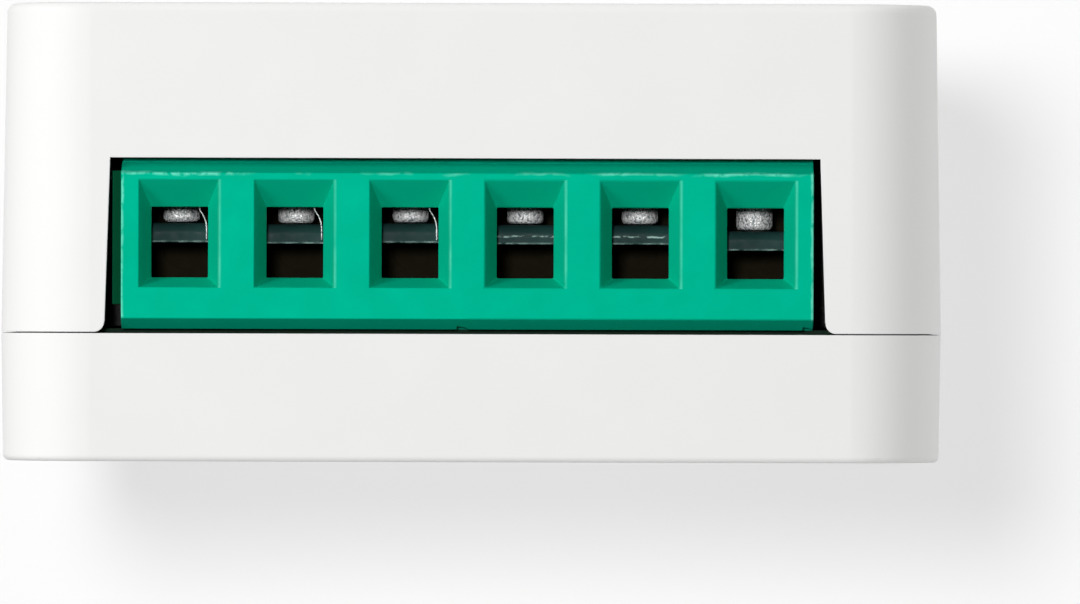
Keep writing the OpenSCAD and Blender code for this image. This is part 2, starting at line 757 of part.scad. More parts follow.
module status_lamp() color("ivory") translate([lamp_x, lamp_y, board_top]) {
  lens_l = 0.7 * lamp_l;
  translate([-lamp_l / 2, -lamp_w / 2, 0]) cube([lamp_l, lamp_w, lamp_h / 2]);
  translate([-lens_l / 2, -lamp_w / 2, 0]) cube([lens_l, lamp_w, lamp_h]);
}

module light_pipe() color("lightcyan") translate([lamp_x, lamp_y, 0]) {
  foot = board_top + lamp_h + part_gap;
  translate([0, 0, foot]) cylinder(d = pipe_d, h = cover_top - foot);
  translate([0, 0, ceiling_z - collar_t]) cylinder(d = collar_d, h = collar_t);
}

module relay_case() color("royalblue")
  translate([relay_left, relay_y - relay_w / 2, board_top]) difference() {
    cube([relay_l, relay_w, relay_h]);
    translate([case_t, case_t, -over])
      cube([relay_l - 2 * case_t, relay_w - 2 * case_t, relay_h - case_t + over]);
  }

module relay_base() color("black") {
  inset = case_t + case_clear;
  translate([relay_left + inset, relay_y - relay_w / 2 + inset, board_top])
    cube([relay_l - 2 * inset, relay_w - 2 * inset, relay_base_h]);
  for (p = relay_pins) translate([p[0], p[1], lead_z]) cylinder(d = lead_d, h = board_top - lead_z + eps);
}

// An L of sheet iron whose upright leg ends in a round that the armature tilts on
module relay_yoke() color("slategray") {
  left = core_x - flange_w / 2;
  translate([left, relay_y - iron_w / 2, yoke_z]) cube([leg_right - left, iron_w, iron_t]);
  translate([leg_left, relay_y - iron_w / 2, yoke_z]) cube([iron_t, iron_w, pivot_z - yoke_z]);
  translate([pivot_x, relay_y + iron_w / 2, pivot_z]) rotate([90, 0, 0]) cylinder(d = iron_t, h = iron_w);
}

module relay_core() color("gray") translate([core_x, relay_y, 0]) {
  translate([0, 0, bobbin_z]) cylinder(d = core_d, h = pole_z - bobbin_z);
  translate([0, 0, pole_z]) cylinder(d = pole_d, h = pole_h);
}

module relay_bobbin() color("ivory") translate([core_x, relay_y, 0]) difference() {
  union() {
    for (z = [bobbin_z, winding_z + winding_h]) translate([-flange_w / 2, -flange_w / 2, z])
      cube([flange_w, flange_w, bobbin_t]);
    translate([0, 0, winding_z]) cylinder(d = core_d + 2 * tube_t, h = winding_h);
  }
  translate([0, 0, bobbin_z - over]) cylinder(d = core_d + 2 * pipe_clear, h = pole_z - bobbin_z + 2 * over);
}

module relay_winding() color("peru") translate([core_x, relay_y, winding_z]) difference() {
  cylinder(d = winding_d, h = winding_h);
  translate([0, 0, -over]) cylinder(d = core_d + 2 * tube_t + 2 * pipe_clear, h = winding_h + 2 * over);
}

module relay_armature() color("slategray") {
  left = core_x - pole_d / 2;
  translate([left, relay_y - iron_w / 2, armature_z]) cube([leg_right - left, iron_w, iron_t]);
}

module contact_spring() color("peru") {
  left = contact_x - rivet_d / 2;
  translate([left, relay_y - spring_w / 2, spring_z]) cube([leg_left - left, spring_w, spring_t]);
  translate([contact_x, relay_y, spring_z - rivet_h]) cylinder(d = rivet_d, h = rivet_h + eps);
}

module fixed_contact() color("peru") translate([contact_x, relay_y, 0]) {
  post_top = fixed_z - fixed_h;
  translate([0, 0, post_top]) cylinder(d = rivet_d, h = fixed_h);
  translate([-rivet_d / 2, -spring_w / 2, yoke_z]) cube([rivet_d, spring_w, post_top + eps - yoke_z]);
}

module radio_board() color("darkgreen")
  translate([radio_left, radio_back - radio_t, board_top]) cube([radio_l, radio_t, radio_h]);

module radio_shield() color("silver") {
  skin = shield_wall;
  translate([radio_left + shield_margin, radio_front, board_top + shield_margin]) difference() {
    cube([shield_l, shield_t, shield_h]);
    translate([skin, skin, skin]) cube([shield_l - 2 * skin, shield_t, shield_h - 2 * skin]);
  }
}

// Two thin leads that go down through the board
module leads(half, top) {
  h = board_top + top - lead_z;
  for (s = [-1, 1]) translate([s * half, 0, top - h]) cylinder(d = lead_d, h = h);
}

// A round can with a rolled groove near its foot, standing on two leads
module can(x, y, d, h, half) translate([x, y, board_top]) {
  r = d / 2;
  bead = r / 10;
  rotate_extrude() polygon([[0, 0], [r - bead, 0], [r, bead], [r, 3 * bead], [r - bead, 4 * bead],
    [r, 5 * bead], [r, h - bead], [r - bead, h], [0, h]]);
  leads(half, eps);
}

module input_capacitor() color("darkslategray")
  can(input_cap_x, input_cap_y, input_cap_d, input_cap_h, input_cap_lead);

module output_capacitor() color("darkslategray")
  can(output_cap_x, mid_y, output_cap_d, output_cap_h, output_cap_lead);

// A drum core with a waist for its winding
module power_inductor() color("black") translate([coil_x, mid_y, board_top]) {
  r = coil_d / 2;
  rim = r / 6;
  rotate_extrude() polygon([[0, 0], [r, 0], [r, 2 * rim], [r - rim, 3 * rim], [r - rim, coil_h - 3 * rim],
    [r, coil_h - 2 * rim], [r, coil_h], [0, coil_h]]);
  leads(coil_lead, eps);
}

// A dipped disc that stands on edge
module varistor() color("steelblue") translate([varistor_x, mid_y, board_top]) {
  r = varistor_d / 2;
  half = varistor_t / 2;
  edge = half / 2;
  translate([0, 0, r + lead_d]) rotate([90, 0, 0]) rotate_extrude()
    polygon([[0, -half], [r - edge, -half], [r, edge - half], [r, half - edge], [r - edge, half], [0, half]]);
  leads(varistor_lead, r / 2);
}

// A barrel with wider end caps, lying on bent leads
module fuse_resistor() color("olivedrab") translate([fuse_x, fuse_y, board_top]) {
  r = fuse_d / 2;
  waist = 0.87 * r;
  cap_l = 0.28 * fuse_l;
  axis_z = r + lead_clear;
  translate([-fuse_l / 2, 0, axis_z]) rotate([0, 90, 0]) rotate_extrude()
    polygon([[0, 0], [waist, 0], [r, r - waist], [r, cap_l], [waist, cap_l + r - waist],
      [waist, fuse_l - cap_l - r + waist], [r, fuse_l - cap_l], [r, fuse_l - r + waist], [waist, fuse_l],
      [0, fuse_l]]);
  translate([-fuse_lead, 0, axis_z]) rotate([0, 90, 0]) cylinder(d = lead_d, h = 2 * fuse_lead);
  leads(fuse_lead, axis_z);
  for (s = [-1, 1]) translate([s * fuse_lead, 0, axis_z]) sphere(d = lead_d);
}

// A flat moulded chip on four feet
module chip(x, w, h) translate([x, rear_y, board_top]) {
  d = rear_d - 2 * foot_l;
  translate([-w / 2, -d / 2, foot_t]) cube([w, d, h - foot_t]);
  for (k = [-1, 1]) translate([k * w / 3 - foot_w / 2, -rear_d / 2, 0]) cube([foot_w, rear_d, 2 * foot_t]);
}

module rectifier() color("black") chip(rectifier_x, rectifier_w, rectifier_h);

module supply_chip() color("black") chip(chip_x, chip_w, chip_h);

cover();
base();
circuit_board();
for (k = [0 : blocks - 1]) terminal_block(k);
for (i = [0 : poles - 1]) {
  contact_cage(i);
  clamp_leaf(i);
  clamp_screw(i);
}
button_cap();
button_switch();
switch_plunger();
status_lamp();
light_pipe();
relay_case();
relay_base();
relay_yoke();
relay_core();
relay_bobbin();
relay_winding();
relay_armature();
contact_spring();
fixed_contact();
radio_board();
radio_shield();
input_capacitor();
output_capacitor();
power_inductor();
varistor();
fuse_resistor();
rectifier();
supply_chip();
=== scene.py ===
"""Looks of a smart relay module: a white moulded box with a green six-pole screw terminal.

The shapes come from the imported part. This script adds procedural materials, soft edges on the
terminal blocks, clamp leaves and contact cages, threads and slots on the clamp screws, three
curls of swarf, and the light, the pale surface behind and the camera of the photograph.
"""
import json
import math

import bmesh
import bpy
from mathutils import Matrix, Vector

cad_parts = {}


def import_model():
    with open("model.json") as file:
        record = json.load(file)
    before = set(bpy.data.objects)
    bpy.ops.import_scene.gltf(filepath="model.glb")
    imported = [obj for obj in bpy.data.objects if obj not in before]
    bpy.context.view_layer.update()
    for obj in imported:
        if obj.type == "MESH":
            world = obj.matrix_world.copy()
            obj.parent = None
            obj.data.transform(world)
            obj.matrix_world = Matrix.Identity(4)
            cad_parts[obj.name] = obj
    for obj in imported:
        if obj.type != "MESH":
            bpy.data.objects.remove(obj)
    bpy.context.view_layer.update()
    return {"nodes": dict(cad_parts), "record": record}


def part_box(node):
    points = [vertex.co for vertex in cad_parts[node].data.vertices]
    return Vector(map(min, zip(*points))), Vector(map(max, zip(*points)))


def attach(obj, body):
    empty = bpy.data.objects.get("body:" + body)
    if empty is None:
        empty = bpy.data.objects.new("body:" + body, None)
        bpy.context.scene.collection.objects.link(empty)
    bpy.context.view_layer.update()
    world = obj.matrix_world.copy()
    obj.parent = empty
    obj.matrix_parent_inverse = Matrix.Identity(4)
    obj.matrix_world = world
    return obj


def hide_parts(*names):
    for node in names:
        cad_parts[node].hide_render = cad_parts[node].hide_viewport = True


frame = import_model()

nodes = frame["nodes"]
MM = 0.001
POLES = 6

# All sizes below are in millimetres and all angles in degrees.

# Sizes of the part that the record doesn't hold
POLE_PITCH = 5.0
BLOCK_W = 15.0
BLOCK_FACE_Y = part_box("terminal_block_1")[0][1] / MM
BLOCK_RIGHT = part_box("terminal_block_2")[1][0] / MM
BLOCK_JOINT = BLOCK_RIGHT - BLOCK_W
BLOCK_LEFT = BLOCK_RIGHT - 2 * BLOCK_W
GROOVE_REACH = 0.6
GROOVE_Y = (0.45, 1.7)
JOINT_SLACK = 0.01
BOARD_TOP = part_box("circuit_board")[1][2] / MM
NOSE_H = 7.2
NOSE_BEVEL = 0.45
NOSE_TOP = BOARD_TOP + NOSE_H
FUNNEL_W, FUNNEL_H, FUNNEL_LOW = 3.5, 4.7, 1.78
FUNNEL_MID = BOARD_TOP + FUNNEL_LOW + FUNNEL_H / 2
CAGE_PLATE = 1.2

# Softened edges: their widths, and the angles at which an edge is dissolved, bevelled or kept sharp
BLOCK_EDGE, LEAF_EDGE, CAGE_EDGE = 0.09, 0.05, 0.06
WELD = 0.0005
FLAT_ANGLE, BEVEL_ANGLE = 0.5, 30
SHARP_ANGLE, BLOCK_SHARP_ANGLE, SCREW_SHARP_ANGLE, CURL_SHARP_ANGLE = 40, 3, 50, 80
FACE_WEIGHT = 100

# Clamp screws. The tip's profile is height and inset, as shares of its chamfer.
THREAD_D, THREAD_PITCH, THREAD_DEPTH = 2.9, 0.5, 0.07
SCREW_SIDES, ROWS_PER_PITCH = 48, 10
POINT_D, POINT_L = 1.6, 1.0
TIP_CHAMFER = 0.2
TIP_PROFILE = ((0.0, 1.0), (0.15, 0.45), (0.6, 0.1), (1.0, 0.0))
HEAD_D, HEAD_H, HEAD_EDGE, HEAD_ROUND = 3.5, 1.5, 0.2, 0.3
SLOT_W, SLOT_DEPTH = 0.6, 0.8
SLOT_TURN = (20, 75, 140, 5, 110, 50)

# Curls of swarf that hang from three cages, just in front of the leaves. The path is x from the
# pole and z from the cage's plate.
CURL_POLES = (1, 2, 3)
CURL_PATH = (
    (1.15, -1.92), (1.15, -1.4), (1.12, -1.18), (1.07, -1.02), (1.0, -0.87),
    (0.92, -0.75), (0.86, -0.66), (0.82, -0.5), (0.8, -0.3), (0.8, 0.01),
)
CURL_R = 0.03
CURL_GAP = 0.06
CURL_SIDES = 6

# Green moulding. Left of the block the rib is painted a darker green: painted shade for the rib in
# its gap. Burrs are pale flecks along the upper crease and the two sides, and the left end of the
# crease is worn. The right rims of the funnels get the same pale green as a painted highlight.
GREEN, GREEN_BURR_AND_HIGHLIGHT = (0.0, 0.46, 0.27), (0.16, 0.8, 0.58)
GREEN_RIB_SHADE = (0.003, 0.08, 0.028)
SHADED_RIB_EDGE = (-0.06, -0.02)
BURR_W, BURR_DEPTH = 0.1, 0.25
CREASE_WAVE, SIDE_WAVE, BURR_WAVE_L = 0.3, 0.2, 0.9
CREASE_RISE, LEFT_BURR, RIGHT_BURR = 0.14, 0.12, 0.06
WORN_END = (4.0, 6.0)

# A scuffed line across the lips of two leaves, its height measured from the leaf's lower edge
SCUFFED_LEAVES = ("clamp_leaf_4", "clamp_leaf_5")
SCUFF_Z, SCUFF_W = 0.34, 0.05
SCUFF_WAVE, SCUFF_WAVE_L = 0.16, 0.5

# Surfaces: the span of most noise values, the spread of roughness, the depth of the grain as a
# share of its size, the free share of the view out at which painted crevice shade is full or gone,
# and the colour factor of that painted shade
NOISE_SPAN = (0.3, 0.7)
ROUGH_SPREAD = 0.06
GRAIN_DEPTH = 0.3
CREVICE_SPAN = (0.3, 0.7)
PAINTED_CREVICE_SHADE = 0.01
NODE_SAMPLES = 6

# Camera: the photograph looks straight at the terminal side through a long lens
CAMERA_X, CAMERA_Y, CAMERA_Z = 3.0, -520.5, 6.95
CAMERA_LENS = 385.0
SENSOR_W = 36.0
CAMERA_ROLL = 0.17
CAMERA_NEAR, CAMERA_FAR = 10.0, 10000.0

# Light: a soft window from the left, a lamp beside the camera, and a glow around and behind the
# object that is stronger on the right. The studio in front is dim. Another lamp beside the camera
# casts the shadow on the backdrop. A lamp has a place, a diameter and a power in watts.
WHITE = 0.985
GLOW_FRONT, GLOW_BEHIND, GLOW_RIGHT = 0.028, 1.0, 0.46
GLOW_EDGE = (-0.18, 0.01)
GLOSS_EDGE = (-0.2, 0.2)
WINDOW = ((-371.3, -331.6, 132.7), 194.0, 1.307)
FRONT = ((-45.0, -516.0, 55.8), 60.0, 1.46)
SHADOW = ((-35.0, -520.5, 39.0), 47.0, 0.9)
LAMP_AIM = (0.0, -20.0, 10.0)
BACKDROP_Y = 60.0
BACKDROP_HALF = 75.0
BACKDROP_FADE = (42.0, 72.0)
BACKDROP_ALBEDO, BACKDROP_MOTTLE = 0.93, 0.004
BACKDROP_GLOW = 0.634


def new_material(name):
    mat = bpy.data.materials.new(name)
    mat.use_nodes = True
    tree = mat.node_tree
    return mat, tree, tree.nodes["Principled BSDF"]


def add(tree, kind, **values):
    """Adds a shader node. Values are its properties, or its input sockets by name."""
    node = tree.nodes.new(kind)
    for key, value in values.items():
        if hasattr(node, key):
            setattr(node, key, value)
        else:
            node.inputs[key.replace("_", " ")].default_value = value
    return node


def link(tree, a, b):
    tree.links.new(a, b)


def math_node(tree, operation, a, b=None, c=None, clamp=False):
    """Adds a Math node. a, b and c are sockets or numbers, and the result is its output socket."""
    node = tree.nodes.new("ShaderNodeMath")
    node.operation = operation
    node.use_clamp = clamp
    for k, value in enumerate((a, b, c)):
        if value is None:
            continue
        if isinstance(value, (int, float)):
            node.inputs[k].default_value = value
        else:
            link(tree, value, node.inputs[k])
    return node.outputs[0]


def multiply(tree, a, b):
    return math_node(tree, "MULTIPLY", a, b)


def highest(tree, a, b):
    return math_node(tree, "MAXIMUM", a, b)


def remap(tree, value, low, high, to_low=0.0, to_high=1.0):
    node = add(tree, "ShaderNodeMapRange", clamp=True)
    limits = (("From Min", low), ("From Max", high), ("To Min", to_low), ("To Max", to_high))
    for name, number in limits:
        node.inputs[name].default_value = number
    link(tree, value, node.inputs["Value"])
    return node.outputs["Result"]


def noise(tree, coords, feature_mm, detail=3.0):
    """Noise whose features are about feature_mm across, from 0 to 1."""
    node = add(tree, "ShaderNodeTexNoise", Scale=1.0 / (feature_mm * MM), Detail=detail)
    link(tree, coords, node.inputs["Vector"])
    return node.outputs[0]


def uneven(tree, coords, feature_mm, low, high):
    """A value that wanders between low and high over about feature_mm."""
    return remap(tree, noise(tree, coords, feature_mm), *NOISE_SPAN, low, high)


def spots(tree, coords, feature_mm, low, high, detail=3.0):
    """Spots of about feature_mm: 0 where the noise is below low, rising to 1 at high."""
    return remap(tree, noise(tree, coords, feature_mm, detail), low, high)


def wavy(tree, coords, value, feature_mm, height_mm):
    """A coordinate that is pushed up by 0 to height_mm, over about feature_mm."""
    return math_node(tree, "MULTIPLY_ADD", noise(tree, coords, feature_mm), height_mm * MM, value)


def near(tree, value, place_mm, width_mm):
    """1 where value is at place_mm, falling to 0 at width_mm from it."""
    gap = math_node(tree, "ABSOLUTE", math_node(tree, "SUBTRACT", value, place_mm * MM))
    share = math_node(tree, "DIVIDE", gap, width_mm * MM)
    return math_node(tree, "SUBTRACT", 1.0, share, clamp=True)


def mix_color(tree, factor, a, b):
    """Mixes two colours. a and b are sockets or colours."""
    node = tree.nodes.new("ShaderNodeMix")
    node.data_type = "RGBA"
    link(tree, factor, node.inputs["Factor"])
    for socket, value in ((node.inputs[6], a), (node.inputs[7], b)):
        if isinstance(value, bpy.types.NodeSocket):
            link(tree, value, socket)
        else:
            socket.default_value = (*value, 1.0)
    return node.outputs[2]


def shade(color, factor):
    return tuple(min(1.0, c * factor) for c in color)


def mottled(tree, coords, color, spread, feature_mm):
    """A colour that is darker and lighter by spread, over about feature_mm."""
    patches = noise(tree, coords, feature_mm)
    return mix_color(tree, patches, shade(color, 1 - spread), shade(color, 1 + spread))


def object_coords(tree):
    return add(tree, "ShaderNodeTexCoord").outputs["Object"]


def axes(tree, coords):
    node = tree.nodes.new("ShaderNodeSeparateXYZ")
    link(tree, coords, node.inputs[0])
    return node.outputs


def open_air(tree, reach_mm):
    """0 deep in crevices and 1 in the open, as far as reach_mm tells: the mask for painted shade.
    """
    node = add(tree, "ShaderNodeAmbientOcclusion", samples=NODE_SAMPLES, Distance=reach_mm * MM)
    return remap(tree, node.outputs["AO"], *CREVICE_SPAN)


def rounded_normal(tree, radius_mm):
    """The normal that edges would have if they were rounded."""
    node = add(tree, "ShaderNodeBevel", samples=NODE_SAMPLES, Radius=radius_mm * MM)
    return node.outputs[0]


def bumps(tree, bsdf, height, strength, depth_mm):
    """Roughens a surface by a height, and returns the Bump node."""
    node = add(tree, "ShaderNodeBump", Strength=strength, Distance=depth_mm * MM)
    link(tree, height, node.inputs["Height"])
    link(tree, node.outputs[0], bsdf.inputs["Normal"])
    return node


def surface(name, color, rough, metallic=0.0, mottle=0.06, mottle_mm=4.0, grain_mm=0.12,
            grain=0.1, specular=0.5, edge_mm=0.0, painted_shade_mm=0.0):
    """A moulded or plated surface: mottled colour, uneven gloss and a fine grain.

    With a crevice reach in mm its colour gets painted shade deep in crevices, and with edge_mm its
    edges look rounded.
    """
    mat, tree, bsdf = new_material(name)
    coords = object_coords(tree)
    shown = mottled(tree, coords, color, mottle, mottle_mm)
    # Painted shade: the colour goes dark deep in crevices, where the light would be shaded.
    if painted_shade_mm:
        shown = mix_color(tree, open_air(tree, painted_shade_mm), shade(color, PAINTED_CREVICE_SHADE), shown)
    link(tree, shown, bsdf.inputs["Base Color"])
    link(tree, uneven(tree, coords, mottle_mm / 3, rough - ROUGH_SPREAD, rough + ROUGH_SPREAD),
         bsdf.inputs["Roughness"])
    bump = bumps(tree, bsdf, noise(tree, coords, grain_mm, detail=2.0),
                 strength=grain, depth_mm=grain_mm * GRAIN_DEPTH)
    if edge_mm:
        link(tree, rounded_normal(tree, edge_mm), bump.inputs["Normal"])
    bsdf.inputs["Metallic"].default_value = metallic
    bsdf.inputs["Specular IOR Level"].default_value = specular
    return mat


def green_material():
    """The green of the terminal blocks: pale burrs, painted rim highlights and painted rib shade.
    """
    mat, tree, bsdf = new_material("green_moulding")
    coords = object_coords(tree)
    x, y, z = axes(tree, coords)
    body = mottled(tree, coords, GREEN, spread=0.06, feature_mm=3.0)
    # Painted shade: the rib left of the block is a darker green, as if shaded in its gap.
    off_shaded_rib = remap(tree, x, *((BLOCK_LEFT + edge) * MM for edge in SHADED_RIB_EDGE))
    body = mix_color(tree, off_shaded_rib, GREEN_RIB_SHADE, body)

    flecks = spots(tree, coords, feature_mm=0.35, low=0.34, high=0.5, detail=4.0)
    stretches = spots(tree, coords, feature_mm=2.6, low=0.45, high=0.6)
    left_end = remap(tree, x, *((BLOCK_LEFT + end) * MM for end in WORN_END),
                     to_low=1.0, to_high=0.0)
    wavy_z = wavy(tree, coords, z, BURR_WAVE_L, CREASE_WAVE)
    crease = multiply(tree, near(tree, wavy_z, NOSE_TOP - NOSE_BEVEL + CREASE_RISE, BURR_W),
                      highest(tree, stretches, left_end))
    wavy_x = wavy(tree, coords, x, BURR_WAVE_L, SIDE_WAVE)
    sides = highest(tree, near(tree, wavy_x, BLOCK_LEFT + LEFT_BURR, BURR_W),
                    near(tree, wavy_x, BLOCK_RIGHT + RIGHT_BURR, BURR_W))
    burrs = multiply(tree, highest(tree, crease, sides), flecks)

    # Painted highlight along the right rim of each funnel. A pole is in the middle of its pitch,
    # and the right rim of its funnel is half a width on
    less_half = math_node(tree, "SUBTRACT", x, (BLOCK_LEFT + FUNNEL_W / 2) * MM)
    in_pitch = math_node(tree, "FLOORED_MODULO", less_half, POLE_PITCH * MM)
    beside_funnel = math_node(tree, "COMPARE", z, FUNNEL_MID * MM, FUNNEL_H / 2 * MM)
    rim_highlight = multiply(tree, near(tree, in_pitch, POLE_PITCH / 2, BURR_W), beside_funnel)
    rim_highlight = multiply(tree, rim_highlight, uneven(tree, coords, feature_mm=1.1, low=0.15, high=0.6))

    at_face = near(tree, y, BLOCK_FACE_Y, BURR_DEPTH)
    # The burrs, and the painted highlight on the rims, are pale green near the face.
    burrs_and_highlight = multiply(tree, highest(tree, burrs, rim_highlight), at_face)
    link(tree, mix_color(tree, burrs_and_highlight, body, GREEN_BURR_AND_HIGHLIGHT), bsdf.inputs["Base Color"])
    link(tree, uneven(tree, coords, feature_mm=1.2, low=0.46, high=0.56),
         bsdf.inputs["Roughness"])
    bumps(tree, bsdf, noise(tree, coords, feature_mm=0.15, detail=2.0),
          strength=0.12, depth_mm=0.03)
    bsdf.inputs["Specular IOR Level"].default_value = 0.3
    bsdf.inputs["Specular Tint"].default_value = (0.0, 1.0, 0.8, 1.0)
    return mat


def screw_material():
    """Bright plated steel, pitted from thread cutting."""
    pit, plate = (0.3, 0.34, 0.36), (1.0, 1.0, 1.0)
    mat, tree, bsdf = new_material("screw_plate")
    coords = object_coords(tree)
    pits = noise(tree, coords, feature_mm=0.12, detail=2.0)
    link(tree, mix_color(tree, remap(tree, pits, low=0.37, high=0.49), pit, plate),
         bsdf.inputs["Base Color"])
    link(tree, uneven(tree, coords, feature_mm=0.2, low=0.3, high=0.42), bsdf.inputs["Roughness"])
    bumps(tree, bsdf, pits, strength=1.0, depth_mm=0.09)
    bsdf.inputs["Metallic"].default_value = 0.25
    return mat


def leaf_material():
    """Dark passivated steel, a painted highlight on its edges, and a scuffed line on two leaves."""
    dark, pale, scuff_and_highlight = (0.01, 0.034, 0.032), (0.016, 0.052, 0.049), (0.45, 0.62, 0.58)
    mat, tree, bsdf = new_material("scuffed_zinc")
    coords = object_coords(tree)
    body = mix_color(tree, noise(tree, coords, feature_mm=0.6), dark, pale)
    # Painted highlight: the edges, where the rounded normal turns from the true one, take a pale
    # green-grey, a painted highlight with the green block's reflection in it.
    turned = add(tree, "ShaderNodeVectorMath", operation="DOT_PRODUCT")
    link(tree, rounded_normal(tree, radius_mm=0.12), turned.inputs[0])
    link(tree, add(tree, "ShaderNodeNewGeometry").outputs["Normal"], turned.inputs[1])
    edges = multiply(tree, remap(tree, turned.outputs["Value"], low=0.998, high=0.95),
                     spots(tree, coords, feature_mm=0.4, low=0.35, high=0.6))

    x, _, z = axes(tree, coords)
    wavy_z = wavy(tree, coords, z, SCUFF_WAVE_L, SCUFF_WAVE)
    line_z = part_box(SCUFFED_LEAVES[0])[0][2] / MM + SCUFF_Z + SCUFF_WAVE / 2
    left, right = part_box(SCUFFED_LEAVES[0])[0][0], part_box(SCUFFED_LEAVES[1])[1][0]
    on_two = math_node(tree, "COMPARE", x, (left + right) / 2, (right - left) / 2)
    line = multiply(tree, near(tree, wavy_z, line_z, SCUFF_W), on_two)
    line = multiply(tree, line, spots(tree, coords, feature_mm=0.3, low=0.42, high=0.56))

    link(tree, mix_color(tree, highest(tree, edges, line), body, scuff_and_highlight), bsdf.inputs["Base Color"])
    link(tree, uneven(tree, coords, feature_mm=0.3, low=0.4, high=0.55), bsdf.inputs["Roughness"])
    bsdf.inputs["Specular IOR Level"].default_value = 0.08
    return mat


def clear_material():
    """The clear light pipe."""
    dull, clean = (0.86, 0.9, 0.92), (0.95, 0.97, 0.98)
    mat, tree, bsdf = new_material("clear_pipe")
    coords = object_coords(tree)
    link(tree, uneven(tree, coords, feature_mm=0.4, low=0.1, high=0.25), bsdf.inputs["Roughness"])
    link(tree, mix_color(tree, noise(tree, coords, feature_mm=1.0), dull, clean),
         bsdf.inputs["Base Color"])
    bsdf.inputs["Transmission Weight"].default_value = 0.8
    bsdf.inputs["IOR"].default_value = 1.49
    return mat


materials = {
    # White moulding, with painted shade deep in its crevices
    "white_plastic": surface(
        "white_moulding", (0.89, 0.89, 0.88), 0.65, mottle=0.008, mottle_mm=9.0, grain_mm=0.16,
        grain=0.06, specular=0.4, edge_mm=0.07, painted_shade_mm=6.0),
    "green_plastic": green_material(),
    # The cages are near-black, far darker than brass.
    "contact_brass": surface(
        "near_black_brass", (0.01, 0.008, 0.003), 0.65, mottle=0.15, mottle_mm=1.0, specular=0.03),
    "leaf_steel": leaf_material(),
    "screw_steel": screw_material(),
    # Dark green solder mask, made near-black as painted shade where the board shows through the
    # gaps.
    "board_green": surface(
        "solder_mask", (0.006, 0.022, 0.012), 0.7, mottle=0.2, mottle_mm=1.5, specular=0.1),
    "black_plastic": surface("black_moulding", (0.03, 0.03, 0.032), 0.5, mottle=0.15),
    "clear_plastic": clear_material(),
    "blue_plastic": surface("blue_case", (0.03, 0.09, 0.36), 0.3, mottle=0.06),
    "cream_plastic": surface("cream_moulding", (0.78, 0.73, 0.6), 0.5),
    "iron": surface(
        "plated_iron", (0.55, 0.55, 0.56), 0.4, metallic=1.0, mottle=0.12, mottle_mm=1.0),
    "copper": surface(
        "enamelled_copper", (0.62, 0.28, 0.12), 0.35, metallic=1.0, mottle=0.12, mottle_mm=0.8),
    "tin_plate": surface("tin_plate", (0.72, 0.72, 0.73), 0.3, metallic=1.0, mottle=0.05),
    "sleeve": surface("shrink_sleeve", (0.03, 0.04, 0.07), 0.3, mottle=0.08),
    "blue_coat": surface(
        "dipped_coat", (0.05, 0.16, 0.4), 0.4, mottle=0.15, mottle_mm=1.0, grain=0.3),
    "green_coat": surface(
        "fired_coat", (0.16, 0.26, 0.1), 0.55, mottle=0.15, mottle_mm=1.0, grain=0.3),
}


def paint(obj, material):
    obj.data.materials.clear()
    obj.data.materials.append(material)


def skin(bm, rings):
    """Faces from each ring of vertices to the next, and over both ends."""
    sides = len(rings[0])
    for a, b in zip(rings, rings[1:]):
        for k in range(sides):
            after = (k + 1) % sides
            bm.faces.new((a[k], a[after], b[after], b[k]))
    bm.faces.new(reversed(rings[0]))
    bm.faces.new(rings[-1])


def finish_mesh(bm, name, material, sharp_angle=SHARP_ANGLE):
    """Turns a bmesh into an object with smooth faces and sharp edges beyond sharp_angle."""
    mesh = bpy.data.meshes.new(name)
    bm.to_mesh(mesh)
    bm.free()
    for face in mesh.polygons:
        face.use_smooth = True
    mesh.set_sharp_from_angle(angle=math.radians(sharp_angle))
    obj = bpy.data.objects.new(name, mesh)
    bpy.context.scene.collection.objects.link(obj)
    paint(obj, material)
    return obj


def at_joint(place):
    """Whether a place on a terminal block is where the blocks meet, or in a dovetail groove."""
    x, y, _ = place / MM
    in_groove = GROOVE_Y[0] < y - BLOCK_FACE_Y < GROOVE_Y[1] and any(
        end - GROOVE_REACH < x < end + JOINT_SLACK for end in (BLOCK_JOINT, BLOCK_RIGHT))
    return in_groove or abs(x - BLOCK_JOINT) < JOINT_SLACK


def softened(node, name, material, width_mm, segments=2, sharp_angle=SHARP_ANGLE,
             stays_sharp=None):
    """A copy of a CAD node with rounded edges, as moulding or stamping leaves them."""
    bm = bmesh.new()
    bm.from_mesh(nodes[node].data)
    bmesh.ops.remove_doubles(bm, verts=bm.verts, dist=WELD * MM)
    bmesh.ops.dissolve_limit(bm, angle_limit=math.radians(FLAT_ANGLE), verts=bm.verts,
                             edges=bm.edges)
    sharp = [e for e in bm.edges
             if len(e.link_faces) == 2 and e.calc_face_angle() > math.radians(BEVEL_ANGLE)]
    if stays_sharp:
        sharp = [e for e in sharp if not all(stays_sharp(v.co) for v in e.verts)]
    bmesh.ops.bevel(bm, geom=sharp, offset=width_mm * MM, offset_type="OFFSET",
                    segments=segments, profile=0.5, affect="EDGES", clamp_overlap=True)
    piece = finish_mesh(bm, name, material, sharp_angle)
    flat = piece.modifiers.new("flat_faces", "WEIGHTED_NORMAL")
    flat.keep_sharp = True
    flat.weight = FACE_WEIGHT
    return piece


def thread_radius(turn, z):
    """The radius of a screw's thread at an angle in radians and a height above its point."""
    phase = z / THREAD_PITCH - turn / (2 * math.pi)
    crest = 0.5 + 0.5 * math.cos(2 * math.pi * phase)
    r = THREAD_D / 2 - THREAD_DEPTH * (1 - crest)
    return min(r, THREAD_D / 2 - TIP_CHAMFER + z - POINT_L)


